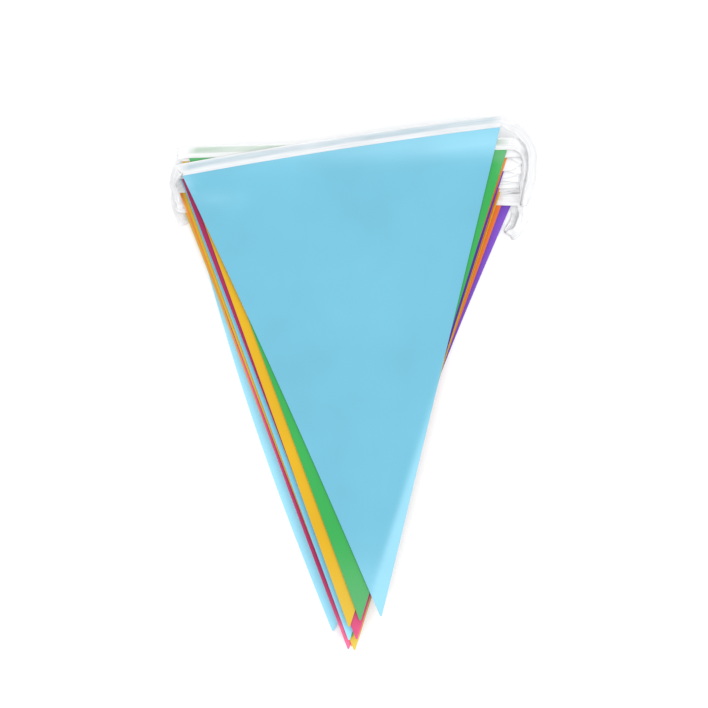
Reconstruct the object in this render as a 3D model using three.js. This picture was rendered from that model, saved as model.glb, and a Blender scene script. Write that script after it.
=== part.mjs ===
// Flag bunting as it is sold: twenty pennants of thin film welded to one long header tape,
// folded back and forth flag upon flag into a flat pack that lies face up.
// Millimetres. X runs across the pack, Y from the points up to the tape, Z away from the floor.
// The origin is the middle of the pack's underside, found from the built meshes at the end.

import * as THREE from 'three';

// Cut sizes
const FLAG_WIDTH = 200;
const TIP_WIDTH = 2;
const TAPE_WIDTH = 7.5;
const TAPE_LEAD = 1.5;
const SHEET = 1;
const GAP = 0.3;
const PITCH = SHEET + GAP;

// Mesh steps
const COLUMNS = 6;
const ROWS = 9;
const TURN_STEPS = 5;
const PLAIN_STEPS = 3;
const STEPS_PER_ROW = 1.6;

// Lift of the upper leaves over the flat bottom one, largest on the topmost flag
const TIP_LIFT = 3;
const TIP_BEND_Y = -60;
const TIP_BEND_REACH = 100;
const CORNER_LIFT = 1.2;
const CORNER_BEND = new THREE.Vector2(40, 90);
const CORNER_BEND_DIRECTION = new THREE.Vector2(0.8, 0.6);
const CORNER_BEND_REACH = 70;

const FILM = {
  blue: { color: 0x7fcbe3, roughness: 0.35 },
  green: { color: 0x47b85e, roughness: 0.35 },
  yellow: { color: 0xf0b82f, roughness: 0.35 },
  pink: { color: 0xc03a64, roughness: 0.35 },
  orange: { color: 0xec9a32, roughness: 0.35 },
  purple: { color: 0x7d46d2, roughness: 0.35 },
  clear: { color: 0xf2f4f6, roughness: 0.25 },
};

// One row for each flag, topmost first. mid is the middle of its top edge, tilt is how far that
// edge's right end stands above its left one in degrees, and tip is its point. narrow is how much
// less than its cut width a flag spans, crown the rise of its top edge's middle, belly the outward
// bow of its left edge and tuck the inward bow of its right edge. beyond is how far the tape runs
// on past its straight lead, at the corner that it leaves by, before it turns to the next flag.
const FLAGS = [
  { film: 'blue', midX: -6, midY: 142.2, tilt: 8.7, tipX: 18.7, tipY: -147, crown: 1.5, belly: -1.5, beyond: 0 },
  { film: 'green', midX: -1.8, midY: 140.7, tilt: 1.5, tipX: 5.7, tipY: -149.4, narrow: 2, beyond: 2.5 },
  { film: 'yellow', midX: -5.2, midY: 137.3, tilt: 0.7, tipX: -1.2, tipY: -153.4, beyond: 10 },
  { film: 'pink', midX: -5.6, midY: 131.9, tilt: 3.8, tipX: 3.6, tipY: -161.3, beyond: 2.5 },
  { film: 'orange', midX: -2.6, midY: 133.5, tilt: 2.8, tipX: 5.6, tipY: -156.1, tuck: 3, beyond: 9.5 },
  { film: 'purple', midX: -4.7, midY: 128, tilt: 1.2, tipX: 3.7, tipY: -156.1, beyond: 2 },
  { film: 'blue', midX: -6.5, midY: 128.4, tilt: 1.2, tipX: -1.2, tipY: -161.8, belly: 0.2, beyond: 10.5 },
  { film: 'green', midX: -5.1, midY: 123.5, tilt: 1.3, tipX: 0.3, tipY: -159.9, narrow: 2.5, beyond: 3.5 },
  { film: 'yellow', midX: -5.9, midY: 120.4, tilt: 2.1, tipX: 2.2, tipY: -168.3, narrow: 1.4, belly: 1, beyond: 10 },
  { film: 'pink', midX: -5.8, midY: 120, tilt: 1.1, tipX: -1.6, tipY: -167.6, narrow: 3.7, belly: 1.8, beyond: 4 },
  { film: 'orange', midX: -7, midY: 118.1, tilt: 0.8, tipX: 0.6, tipY: -166.1, beyond: 10 },
  { film: 'purple', midX: -5.9, midY: 118.2, tilt: 1.1, tipX: 0, tipY: -164.2, narrow: 4, beyond: 3.5 },
  { film: 'blue', midX: -6.7, midY: 117.9, tilt: 0.5, tipX: -7.5, tipY: -153.6, narrow: 3.1, beyond: 10.5 },
  { film: 'green', midX: -5.6, midY: 113, tilt: 2.5, tipX: 0, tipY: -161.7, narrow: 5.8, beyond: 3 },
  { film: 'yellow', midX: -5, midY: 111.3, tilt: 4, tipX: 1.9, tipY: -164.8, narrow: 2.4, tuck: 0.8, beyond: 9.5 },
  { film: 'pink', midX: -5.8, midY: 114.8, tilt: 0.5, tipX: 0, tipY: -163.6, narrow: 3.8, beyond: 3 },
  { film: 'orange', midX: -6.1, midY: 112.8, tilt: -2.2, tipX: -3.7, tipY: -156.7, belly: 2, beyond: 8.5 },
  { film: 'purple', midX: -0.2, midY: 111, tilt: -1.2, tipX: 0.6, tipY: -163.6, tuck: 6, beyond: 2.5 },
  { film: 'blue', midX: -2.5, midY: 115.1, tilt: -0.7, tipX: -11.2, tipY: -156.7, belly: 5.7, beyond: 0 },
  { film: 'green', midX: -4, midY: 113.2, tilt: -0.7, tipX: -0.6, tipY: -161.7, narrow: 2.8, tuck: 1.5, beyond: 0 },
];

// Slack tape that hangs clear of the pack, from the flags' corner outwards. z is the height of its
// middle, and roll tips its outer edge down in degrees. Where slack tape turns back, out is the
// strip that leaves one flag and back the strip that leads into the next, listed from the corner.
const SIDE_LOOP = {
  out: [
    { x: 98.6, y: 159.0, z: 27.3, roll: -12 },
    { x: 104.7, y: 154.9, z: 27.2, roll: -32 },
    { x: 110.9, y: 147.6, z: 26.2, roll: -50 },
    { x: 113.9, y: 138.0, z: 24.0, roll: -60 },
    { x: 113.3, y: 126.5, z: 21.4, roll: -66 },
    { x: 111.0, y: 116.7, z: 19.0, roll: -70 },
    { x: 109.0, y: 110.0, z: 17.4, roll: -74 },
  ],
  back: [
    { x: 102.6, y: 146.5, z: 25.4, roll: -5 },
    { x: 107.6, y: 143.1, z: 24.9, roll: -25 },
    { x: 110.3, y: 136.8, z: 23.0, roll: -48 },
    { x: 110.6, y: 128.1, z: 20.5, roll: -60 },
    { x: 109.1, y: 118.2, z: 18.0, roll: -68 },
    { x: 107.5, y: 110.6, z: 16.6, roll: -74 },
  ],
};
const LOW_LOOP = {
  out: [
    { x: 102.0, y: 117.4, z: 1.8, roll: 0 },
    { x: 106.1, y: 112.6, z: 1.8, roll: 0 },
    { x: 107.8, y: 106.4, z: 2.6, roll: -12 },
    { x: 107.2, y: 100.0, z: 3.8, roll: -32 },
    { x: 104.6, y: 94.2, z: 4.7, roll: -38 },
    { x: 100.2, y: 90.6, z: 4.4, roll: -25 },
  ],
  back: [
    { x: 99.2, y: 114.8, z: 0.53, roll: 0 },
    { x: 102.6, y: 110.1, z: 0.56, roll: 0 },
    { x: 103.9, y: 104.5, z: 0.9, roll: -3 },
    { x: 103.0, y: 99.2, z: 1.9, roll: -18 },
    { x: 101.0, y: 95.2, z: 2.3, roll: -18 },
    { x: 98.9, y: 92.2, z: 2.7, roll: -20 },
  ],
};
const UPPER_TAIL = [
  { x: -108.2, y: 129.1, z: 25.6, roll: -35 },
  { x: -110.1, y: 124.7, z: 24.8, roll: -58 },
  { x: -109.9, y: 118.2, z: 23.8, roll: -62 },
  { x: -107.6, y: 111.0, z: 22.8, roll: -62 },
];
const LOWER_TAIL = [
  { x: -108.4, y: 116.5, z: 0.5, roll: 0 },
  { x: -108.9, y: 110.5, z: 0.5, roll: 0 },
  { x: -106.5, y: 103.5, z: 0.5, roll: 0 },
  { x: -103.5, y: 97.0, z: 0.5, roll: 0 },
];
const SHAPED_LOOPS = { 0: SIDE_LOOP, 18: LOW_LOOP };

const LAST = FLAGS.length - 1;
const UP = new THREE.Vector3(0, 0, 1);

// Height of a leaf's middle surface: flags counts from the topmost one down
function heightAt(flag, x, y) {
  const layer = LAST - flag;
  const tip = Math.max(0, (TIP_BEND_Y - y) / TIP_BEND_REACH);
  const past = new THREE.Vector2(x, y).sub(CORNER_BEND).dot(CORNER_BEND_DIRECTION);
  const corner = Math.max(0, past / CORNER_BEND_REACH);
  const lift = TIP_LIFT * tip ** 2 + CORNER_LIFT * corner ** 2;
  return layer * PITCH + SHEET / 2 + (lift * layer) / LAST;
}

// Unit vectors along a flag's top edge and square to it, away from the tip
function edgeDirections({ tilt }) {
  const angle = THREE.MathUtils.degToRad(tilt);
  const along = new THREE.Vector2(Math.cos(angle), Math.sin(angle));
  return { along, square: new THREE.Vector2(-along.y, along.x) };
}

// A point of the top edge: share runs from 0 at the left corner to 1 at the right
function topEdgePoint(row, share, offset = 0) {
  const { along, square } = edgeDirections(row);
  const rise = 4 * (row.crown ?? 0) * share * (1 - share);
  return new THREE.Vector2(row.midX, row.midY)
    .addScaledVector(along, (share - 0.5) * (FLAG_WIDTH - (row.narrow ?? 0)))
    .addScaledVector(square, rise + offset);
}

// A point of the flag's leaf: down runs from 0 at the top edge to 1 at the tip
function leafPoint(row, share, down) {
  const { along } = edgeDirections(row);
  const top = topEdgePoint(row, share);
  const foot = new THREE.Vector2(row.tipX, row.tipY).addScaledVector(along, (share - 0.5) * TIP_WIDTH);
  const edgeShift = (row.belly ?? 0) * (1 - share) + (row.tuck ?? 0) * share;
  const bow = edgeShift * Math.sin(Math.PI * down);
  return top.lerp(foot, down).addScaledVector(along, -bow);
}

// A closed sheet around a grid of middle points: each side lies half the thickness off them, and
// going down a column then along a row turns about the normal like a right-hand screw.
function closedSheet(grid) {
  const columns = grid[0].length;
  const positions = [];
  for (const side of [0.5, -0.5]) {
    for (const { point, normal } of grid.flat()) {
      positions.push(...point.clone().addScaledVector(normal, side * SHEET).toArray());
    }
  }
  const under = grid.length * columns;
  const at = (i, j) => i * columns + j;
  const triangles = [];
  for (let i = 0; i + 1 < grid.length; i += 1) {
    for (let j = 0; j + 1 < columns; j += 1) {
      const [a, b, c, d] = [at(i, j), at(i + 1, j), at(i + 1, j + 1), at(i, j + 1)];
      triangles.push(a, b, c, a, c, d);
      triangles.push(under + a, under + c, under + b, under + a, under + d, under + c);
    }
  }
  const last = grid.length - 1;
  const right = columns - 1;
  const rim = [];
  for (let i = 0; i < last; i += 1) rim.push([at(i, 0), at(i + 1, 0)], [at(i + 1, right), at(i, right)]);
  for (let j = 0; j < right; j += 1) rim.push([at(last, j), at(last, j + 1)], [at(0, j + 1), at(0, j)]);
  for (const [from, to] of rim) triangles.push(to, from, under + from, to, under + from, under + to);
  const geometry = new THREE.BufferGeometry();
  geometry.setAttribute('position', new THREE.Float32BufferAttribute(positions, 3));
  geometry.setIndex(triangles);
  geometry.computeVertexNormals();
  return geometry;
}

function flagGeometry(row, flag) {
  const slopeStep = 1;
  const grid = [];
  for (let i = 0; i <= ROWS; i += 1) {
    const line = [];
    for (let j = 0; j <= COLUMNS; j += 1) {
      const { x, y } = leafPoint(row, j / COLUMNS, i / ROWS);
      const z = heightAt(flag, x, y);
      const slopeX = (heightAt(flag, x + slopeStep, y) - z) / slopeStep;
      const slopeY = (heightAt(flag, x, y + slopeStep) - z) / slopeStep;
      const normal = new THREE.Vector3(-slopeX, -slopeY, 1).normalize();
      line.push({ point: new THREE.Vector3(x, y, z), normal });
    }
    grid.push(line);
  }
  return closedSheet(grid);
}

// The tape is a chain of stations: the middle of the strip and the direction across it, which
// points away from the flags.
function runStations(row, flag) {
  const { square } = edgeDirections(row);
  const across = new THREE.Vector3(square.x, square.y, 0);
  const lead = TAPE_LEAD / FLAG_WIDTH;
  const shares = Array.from({ length: COLUMNS + 1 }, (_, j) => j / COLUMNS);
  const stations = [-lead, ...shares, 1 + lead].map((share) => {
    const { x, y } = topEdgePoint(row, share, GAP + TAPE_WIDTH / 2);
    return { point: new THREE.Vector3(x, y, heightAt(flag, x, y)), across };
  });
  return flag % 2 === 0 ? stations : stations.reverse();
}

// Half a turn about the strip's own width, from the strip that goes out to the one that comes back
function turnStations(out, back, outward) {
  const middle = out.point.clone().lerp(back.point, 0.5);
  const arm = out.point.clone().sub(middle);
  const stations = [];
  for (let step = 1; step < TURN_STEPS; step += 1) {
    const angle = (Math.PI * step) / TURN_STEPS;
    const point = middle.clone().addScaledVector(arm, Math.cos(angle));
    point.addScaledVector(outward, arm.length() * Math.sin(angle));
    stations.push({ point, across: out.across });
  }
  return stations;
}

// A short fold past the corners: out level with one flag and back level with the next
function plainLoop(leave, arrive, flag, side) {
  const reach = FLAGS[flag].beyond;
  const middle = leave.point.clone().lerp(arrive.point, 0.5);
  const across = leave.across.clone().add(arrive.across).normalize();
  const outward = new THREE.Vector3(across.y, -across.x, 0).multiplyScalar(side);
  const end = middle.clone().addScaledVector(outward, reach);
  const strip = (root, leaf) => {
    const stations = [];
    for (let step = 1; step <= PLAIN_STEPS; step += 1) {
      const share = step / PLAIN_STEPS;
      const point = root.point.clone().lerp(end, share);
      const sideways = THREE.MathUtils.smoothstep(share, 0, 1) - share;
      point.addScaledVector(across, end.clone().sub(root.point).dot(across) * sideways);
      point.z = heightAt(leaf, point.x, point.y);
      stations.push({ point, across });
    }
    return stations;
  };
  const out = strip(leave, flag);
  const back = strip(arrive, flag + 1);
  return [...out, ...turnStations(out.at(-1), back.at(-1), outward), ...back.reverse()];
}

// Slack tape from a corner along its rows, smoothed, without the corner's own station
function slackStations(corner, rows, side) {
  const middles = rows.map(({ x, y, z }) => new THREE.Vector3(x, y, z));
  const path = new THREE.CatmullRomCurve3([corner.point, ...middles]);
  const turns = rows.map(({ roll }, index) => new THREE.Vector2(index + 1, roll));
  const rolls = new THREE.SplineCurve([new THREE.Vector2(0, 0), ...turns]);
  const steps = Math.ceil(rows.length * STEPS_PER_ROW);
  const stations = [];
  for (let step = 1; step <= steps; step += 1) {
    const share = step / steps;
    const outward = path.getTangent(share);
    const level = new THREE.Vector3().crossVectors(UP, outward).normalize().multiplyScalar(side);
    const angle = THREE.MathUtils.degToRad(rolls.getPoint(share).y);
    const across = level.multiplyScalar(Math.cos(angle)).addScaledVector(UP, Math.sin(angle));
    across.addScaledVector(outward, -across.dot(outward)).normalize();
    stations.push({ point: path.getPoint(share), across, outward });
  }
  return stations;
}

function shapedLoop(leave, arrive, { out, back }, side) {
  const outStrip = slackStations(leave, out, side);
  const backStrip = slackStations(arrive, back, side);
  const turn = turnStations(outStrip.at(-1), backStrip.at(-1), outStrip.at(-1).outward);
  return [...outStrip, ...turn, ...backStrip.reverse()];
}

function tapeGeometry() {
  const runs = FLAGS.map(runStations);
  const stations = slackStations(runs[0][0], UPPER_TAIL, -1).reverse();
  FLAGS.forEach((row, flag) => {
    stations.push(...runs[flag]);
    if (flag === LAST) return;
    const side = flag % 2 === 0 ? 1 : -1;
    const leave = runs[flag].at(-1);
    const arrive = runs[flag + 1][0];
    const slack = SHAPED_LOOPS[flag];
    const loop = slack ? shapedLoop(leave, arrive, slack, side) : plainLoop(leave, arrive, flag, side);
    stations.push(...loop);
  });
  stations.push(...slackStations(runs[LAST].at(-1), LOWER_TAIL, -1));
  const grid = stations.map(({ point, across }, index) => {
    const before = stations[Math.max(0, index - 1)].point;
    const after = stations[Math.min(stations.length - 1, index + 1)].point;
    const arriving = point.clone().sub(before).normalize();
    const leaving = after.clone().sub(point).normalize();
    const travel = arriving.add(leaving).normalize();
    const normal = new THREE.Vector3().crossVectors(travel, across).normalize();
    const width = new THREE.Vector3().crossVectors(normal, travel).multiplyScalar(TAPE_WIDTH / 2);
    return [
      { point: point.clone().sub(width), normal },
      { point: point.clone().add(width), normal },
    ];
  });
  return closedSheet(grid);
}

function filmMesh(name, geometry, film) {
  const material = new THREE.MeshStandardMaterial({ ...FILM[film], metalness: 0 });
  const mesh = new THREE.Mesh(geometry, material);
  mesh.name = name;
  return mesh;
}

const group = new THREE.Group();
FLAGS.forEach((row, flag) => {
  const name = `flag_${String(flag + 1).padStart(2, '0')}`;
  group.add(filmMesh(name, flagGeometry(row, flag), row.film));
});
group.add(filmMesh('header_tape', tapeGeometry(), 'clear'));

const box = new THREE.Box3().setFromObject(group);
const middle = box.getCenter(new THREE.Vector3());
group.position.set(-middle.x, -middle.y, -box.min.z);

export default group;
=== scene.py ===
"""Flag bunting: twenty film pennants on one folded header tape, laid up as a flat pack.

The layout is in millimetres as it is seen from above: X across the pack, Y from the points up to
the tape and Z off the surface it lies on. Meshes are put into the frame in metres.
"""

import logging
import math
from dataclasses import dataclass, field
from enum import Enum

import bpy
import numpy as np
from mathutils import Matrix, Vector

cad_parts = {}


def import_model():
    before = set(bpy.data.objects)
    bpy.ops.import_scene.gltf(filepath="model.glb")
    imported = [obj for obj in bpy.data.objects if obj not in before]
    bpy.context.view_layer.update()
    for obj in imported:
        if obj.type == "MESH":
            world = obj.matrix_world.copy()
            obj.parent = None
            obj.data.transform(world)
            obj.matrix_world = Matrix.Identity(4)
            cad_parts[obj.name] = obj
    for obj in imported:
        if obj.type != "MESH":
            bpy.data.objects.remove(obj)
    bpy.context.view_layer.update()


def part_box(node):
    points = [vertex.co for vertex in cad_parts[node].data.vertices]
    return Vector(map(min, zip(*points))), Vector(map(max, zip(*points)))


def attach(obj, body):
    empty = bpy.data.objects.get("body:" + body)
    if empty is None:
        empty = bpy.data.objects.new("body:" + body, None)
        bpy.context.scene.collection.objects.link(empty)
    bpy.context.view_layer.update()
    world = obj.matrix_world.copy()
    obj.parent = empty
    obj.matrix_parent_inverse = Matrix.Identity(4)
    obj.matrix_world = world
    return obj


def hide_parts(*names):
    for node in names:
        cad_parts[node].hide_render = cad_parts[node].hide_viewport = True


LOG = logging.getLogger("flag_bunting")
MM = 0.001
# Folded width of the tape, and how much of each flag is welded inside it, in millimetres
TAPE_WIDTH = 7.5
WELD = 6.2
POLYETHYLENE_IOR = 1.51
Array = np.ndarray
Node = bpy.types.Node
Tree = bpy.types.NodeTree
Socket = bpy.types.NodeSocket
Material = bpy.types.Material
Triple = tuple[float, float, float]
SocketValue = float | tuple | Socket


def hex_linear(code: str) -> tuple[float, float, float, float]:
    """Turns an sRGB colour into linear light.

    Args:
        code: Six hexadecimal digits, red, green and blue.

    Returns:
        Red, green, blue and an alpha of 1.
    """
    shares = [int(code[at : at + 2], 16) / 255 for at in (0, 2, 4)]
    linear = [s / 12.92 if s <= 0.04045 else ((s + 0.055) / 1.055) ** 2.4 for s in shares]
    return (*linear, 1.0)


def connect(tree: Tree, node: Node, inputs: dict[int | str, SocketValue]) -> None:
    """Fills a node's inputs: an output socket is linked, and anything else is set as the value.

    Args:
        tree: The material's node tree.
        node: The node.
        inputs: Input sockets, by name or place, and what goes into each.
    """
    for place, value in inputs.items():
        if isinstance(value, Socket):
            tree.links.new(value, node.inputs[place])
        else:
            node.inputs[place].default_value = value


def add_node(
    tree: Tree,
    kind: str,
    settings: dict[str, str] | None = None,
    inputs: dict[int | str, SocketValue] | None = None,
) -> Node:
    """Adds one shader node with its settings and links.

    Args:
        tree: The material's node tree.
        kind: The node's type name.
        settings: Property names and their values.
        inputs: Input sockets, by name or place, and what goes into each.

    Returns:
        The new node.
    """
    node = tree.nodes.new(kind)
    for name, value in (settings or {}).items():
        setattr(node, name, value)
    connect(tree, node, inputs or {})
    return node


def add_attribute(tree: Tree, name: str, output: str = "Fac") -> Socket:
    """Adds a node that reads an attribute of the mesh, and returns one of its outputs."""
    return add_node(tree, "ShaderNodeAttribute", {"attribute_name": name}).outputs[output]


def add_noise(tree: Tree, place: Socket, cells: Triple, detail: float) -> Socket:
    """Adds smooth noise with a cell size of its own along each axis.

    Args:
        tree: The material's node tree.
        place: The coordinates.
        cells: Cells in one unit of each coordinate.
        detail: How many finer layers it has.

    Returns:
        The noise, which is mostly between 0.3 and 0.7.
    """
    mapping = add_node(tree, "ShaderNodeMapping", inputs={"Vector": place, "Scale": cells})
    inputs = {"Vector": mapping.outputs[0], "Scale": 1.0, "Detail": detail}
    return add_node(tree, "ShaderNodeTexNoise", inputs=inputs).outputs["Fac"]


def add_spread(tree: Tree, noise: Socket, middle: float, reach: float) -> Socket:
    """Adds a node that spreads noise evenly about a middle value.

    Args:
        tree: The material's node tree.
        noise: The noise, mostly between 0.3 and 0.7.
        middle: The middle value.
        reach: How far the values go from it.

    Returns:
        The spread values.
    """
    ends = {"From Min": 0.3, "From Max": 0.7, "To Min": middle - reach, "To Max": middle + reach}
    return add_node(tree, "ShaderNodeMapRange", inputs={"Value": noise, **ends}).outputs[0]


def new_material(name: str) -> tuple[Material, Tree, Node]:
    """Makes a material.

    Args:
        name: Its name.

    Returns:
        The material, its node tree and its shader.
    """
    material = bpy.data.materials.new(name)
    material.use_nodes = True
    return material, material.node_tree, material.node_tree.nodes["Principled BSDF"]


def add_object(name: str, data: bpy.types.ID) -> bpy.types.Object:
    """Puts an object into the scene.

    Args:
        name: Its name.
        data: Its mesh, lamp or camera.

    Returns:
        The object.
    """
    thing = bpy.data.objects.new(name, data)
    bpy.context.scene.collection.objects.link(thing)
    return thing


def unit(vectors: Array) -> Array:
    """Each vector of an array divided by its own length."""
    return vectors / np.linalg.norm(vectors, axis=-1, keepdims=True)


def smoothstep(low: float, high: float, value: Array) -> Array:
    """Rises from 0 at low to 1 at high as 3 s squared less 2 s cubed."""
    share = np.clip((value - low) / (high - low), 0.0, 1.0)
    return share * share * (3.0 - 2.0 * share)


def soft_noise(x: Array, y: Array, seed: int) -> Array:
    """Smooth noise between -1 and 1 with about one hump for each unit of x and of y.

    Each whole-number lattice point has a value from a seeded table, and a point between four of
    them gets their values blended by the smoothstep of its place in the cell.

    Args:
        x: First coordinate, in humps.
        y: Second coordinate, in humps.
        seed: Picks the table.

    Returns:
        The noise at each point.
    """
    size = 64
    lattice = np.random.default_rng(seed).uniform(-1.0, 1.0, (size, size))
    left, low = np.floor(x).astype(int), np.floor(y).astype(int)
    across, up = smoothstep(0.0, 1.0, x - left), smoothstep(0.0, 1.0, y - low)

    def value(i: Array, j: Array) -> Array:
        """The table's value at lattice points, repeated past its edges."""
        return lattice[i % size, j % size]

    bottom = value(left, low) * (1 - across) + value(left + 1, low) * across
    top = value(left, low + 1) * (1 - across) + value(left + 1, low + 1) * across
    return bottom * (1 - up) + top * up


@dataclass(frozen=True)
class Ripple:
    """Soft noise of one size along and across a sheet.

    Attributes:
        seed: Picks its table.
        size: Length and width of a hump, in millimetres.
        strength: Its greatest value.
        start: Where it starts in the table, in humps.
    """

    seed: int
    size: tuple[float, float]
    strength: float = 1.0
    start: tuple[float, float] = (0.0, 0.0)

    def at(self, x: Array, y: Array) -> Array:
        """Its value at points in millimetres: its strength times the noise there."""
        places = (x / self.size[0] + self.start[0], y / self.size[1] + self.start[1])
        return self.strength * soft_noise(*places, self.seed)


LONG_SWELL = Ripple(5, (74.0, 88.0), start=(3.1, 1.7))
SHORT_SWELL = Ripple(6, (31.0, 44.0), 0.35)
WRINKLES = Ripple(11, (5.5, 4.0), start=(0.0, 9.0))
FINE_WRINKLES = Ripple(12, (2.3, 2.2), 0.5)
TAPE_CLOUDS = Ripple(21, (13.0, 3.0), 0.3)
# Streaks of painted crinkle shade on slack tape
PAINTED_CRINKLE_SHADE = Ripple(22, (9.0, 1.4), 0.5)


def smooth_path(points: Array, places: Array) -> tuple[Array, Array]:
    """A smooth curve through points, one unit of its parameter from each to the next.

    Each stretch is the cubic whose ends have the slopes of the chords between the neighbours on
    both sides, and the first and last points have the slope of their only chord.

    Args:
        points: The points, one a row.
        places: Parameters from 0 to the number of stretches.

    Returns:
        The curve's points and its slopes at those parameters.
    """
    slopes = np.gradient(points, axis=0)
    start = np.clip(np.floor(places).astype(int), 0, len(points) - 2)
    s = (places - start)[:, None]
    p0, p1, m0, m1 = points[start], points[start + 1], slopes[start], slopes[start + 1]
    curve = (2 * s**3 - 3 * s**2 + 1) * p0 + (s**3 - 2 * s**2 + s) * m0
    curve += (3 * s**2 - 2 * s**3) * p1 + (s**3 - s**2) * m1
    slope = (6 * s**2 - 6 * s) * (p0 - p1) + (3 * s**2 - 4 * s + 1) * m0 + (3 * s**2 - 2 * s) * m1
    return curve, slope


class Film(Enum):
    """The films of the garland, named by colour."""

    BLUE = "blue"
    GREEN = "green"
    YELLOW = "yellow"
    PINK = "pink"
    ORANGE = "orange"
    PURPLE = "purple"


@dataclass(frozen=True)
class PennantFilm:
    """Blown low-density polyethylene film, dyed through and about 0.05 mm thick.

    To the eye it is an even satin colour with a faint drawn grain down the flag. Light comes
    through it, so a leaf with only the white ground under it is clearly paler than in the stack;
    here that paler light is painted into the colour.

    Attributes:
        film: Which film this is.
        deep: Colour over other leaves.
        pale: Colour of one leaf over a white ground, blended in as painted light of the ground.
        roughness: Middle roughness of the satin surface.
        satin: How far the grain takes the roughness from its middle.
        specular: Strength of its shine, low so that a white sky leaves the colour full.
        drift: Cells to the metre of the drift of dye and thickness, 50 mm each.
        drift_reach: How much lighter or darker the drift makes it.
        grain: Cells to the metre of the drawn grain, 1.2 mm wide and 25 mm long.
        relief: Height of the grain, in metres.
    """

    film: Film
    deep: str
    pale: str
    roughness: float = 0.36
    satin: float = 0.05
    specular: float = 0.15
    drift: Triple = (20.0, 20.0, 20.0)
    drift_reach: float = 0.04
    grain: Triple = (830.0, 40.0, 40.0)
    relief: float = 0.00004

    def build(self) -> Material:
        """Makes the material.

        Returns:
            The film's material, which reads the leaf's "bare" and "glow" attributes.
        """
        material, tree, shader = new_material(f"polyethylene_film_{self.film.value}")
        place = add_node(tree, "ShaderNodeTexCoord").outputs["Object"]
        # Painted light: the colour is blended towards pale where the white ground's light would
        # shine through, and glow brightens it against the stack's shade.
        ends = {0: add_attribute(tree, "painted_ground_light"), 6: hex_linear(self.deep), 7: hex_linear(self.pale)}
        colour = add_node(tree, "ShaderNodeMix", {"data_type": "RGBA"}, ends).outputs[2]
        shade = add_spread(tree, add_noise(tree, place, self.drift, 2.0), 1.0, self.drift_reach)
        factors = {0: shade, 1: add_attribute(tree, "glow")}
        value = add_node(tree, "ShaderNodeMath", {"operation": "MULTIPLY"}, factors).outputs[0]
        dyed = add_node(tree, "ShaderNodeHueSaturation", inputs={"Color": colour, "Value": value})
        grain = add_noise(tree, place, self.grain, 3.0)
        relief = {"Height": grain, "Strength": 0.25, "Distance": self.relief}
        inputs = {
            "Base Color": dyed.outputs[0],
            "Roughness": add_spread(tree, grain, self.roughness, self.satin),
            "Normal": add_node(tree, "ShaderNodeBump", inputs=relief).outputs[0],
            "IOR": POLYETHYLENE_IOR,
            "Specular IOR Level": self.specular,
        }
        connect(tree, shader, inputs)
        return material


@dataclass(frozen=True)
class TapeFilm:
    """Undyed polyethylene tape, folded in two and welded over the flags.

    To the eye it is milky clear: one thickness lets the flag's colour through, the turned-in hems
    look whiter, and slack tape is crinkled, with soft grey streaks of painted shade along it. Part
    of the light that enters one face leaves by the other, so that slack tape stays white.

    Attributes:
        milk: Colour of the scattered light.
        cover: How much one side of one thickness hides.
        cover_reach: How far the streaks take that from its middle.
        roughness: Roughness of its shiny surface.
        through: Share of the light that goes through its body.
        depth: How far that light goes, in metres.
        streaks: Cells to the millimetre of its thinner streaks, 30 mm long and 0.8 mm wide.
        crinkles: Cells to the millimetre of its fine crinkles, a few millimetres each way.
        relief: Height of the crinkles, in metres.
    """

    milk: str = "fcfdff"
    cover: float = 0.88
    cover_reach: float = 0.08
    roughness: float = 0.24
    through: float = 0.35
    depth: float = 0.0005
    streaks: Triple = (0.033, 1.25, 1.0)
    crinkles: Triple = (0.12, 0.35, 1.0)
    relief: float = 0.0006

    def build(self) -> Material:
        """Makes the material.

        Returns:
            The tape's material, which reads the tape's "tint" and "strip" attributes.
        """
        material, tree, shader = new_material("polyethylene_tape_clear")
        strip = add_attribute(tree, "strip", "Vector")
        layers = {0: 1.0, 6: hex_linear(self.milk), 7: add_attribute(tree, "tint", "Color")}
        multiply = {"data_type": "RGBA", "blend_type": "MULTIPLY"}
        crinkles = add_noise(tree, strip, self.crinkles, 4.0)
        relief = {"Height": crinkles, "Strength": 0.4, "Distance": self.relief}
        streaks = add_noise(tree, strip, self.streaks, 2.0)
        inputs = {
            "Base Color": add_node(tree, "ShaderNodeMix", multiply, layers).outputs[2],
            "Alpha": add_spread(tree, streaks, self.cover, self.cover_reach),
            "Normal": add_node(tree, "ShaderNodeBump", inputs=relief).outputs[0],
            "Roughness": self.roughness,
            "IOR": POLYETHYLENE_IOR,
            "Subsurface Weight": self.through,
            "Subsurface Radius": (1.0, 1.0, 1.0),
            "Subsurface Scale": self.depth,
        }
        connect(tree, shader, inputs)
        return material


@dataclass(frozen=True)
class StudioPaper:
    """Seamless white background paper, which is matt, even and very pale to the eye.

    Attributes:
        colour: Its colour.
        roughness: Its roughness, high because it is matt.
        specular: Strength of its shine.
    """

    colour: str = "f7f8f9"
    roughness: float = 0.9
    specular: float = 0.1

    def build(self) -> Material:
        """Makes the material.

        Returns:
            The paper's material.
        """
        material, tree, shader = new_material("white_studio_paper")
        inputs = {
            "Base Color": hex_linear(self.colour),
            "Roughness": self.roughness,
            "Specular IOR Level": self.specular,
        }
        connect(tree, shader, inputs)
        return material


@dataclass(frozen=True)
class FlagRow:
    """How one flag lies.

    Attributes:
        film: Its film.
        middle: Middle of its top edge, in millimetres.
        tilt: How far the top edge's right end stands above its left one, in degrees.
        tip: Its point, in millimetres.
        beyond: How far the tape runs on past the corner that it leaves by.
        narrow: How much less than its cut width it spans.
        crown: Rise of the middle of its top edge.
        belly: Outward bow of its left edge.
        tuck: Inward bow of its right edge.
    """

    film: Film
    middle: tuple[float, float]
    tilt: float
    tip: tuple[float, float]
    beyond: float
    narrow: float = 0.0
    crown: float = 0.0
    belly: float = 0.0
    tuck: float = 0.0


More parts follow.
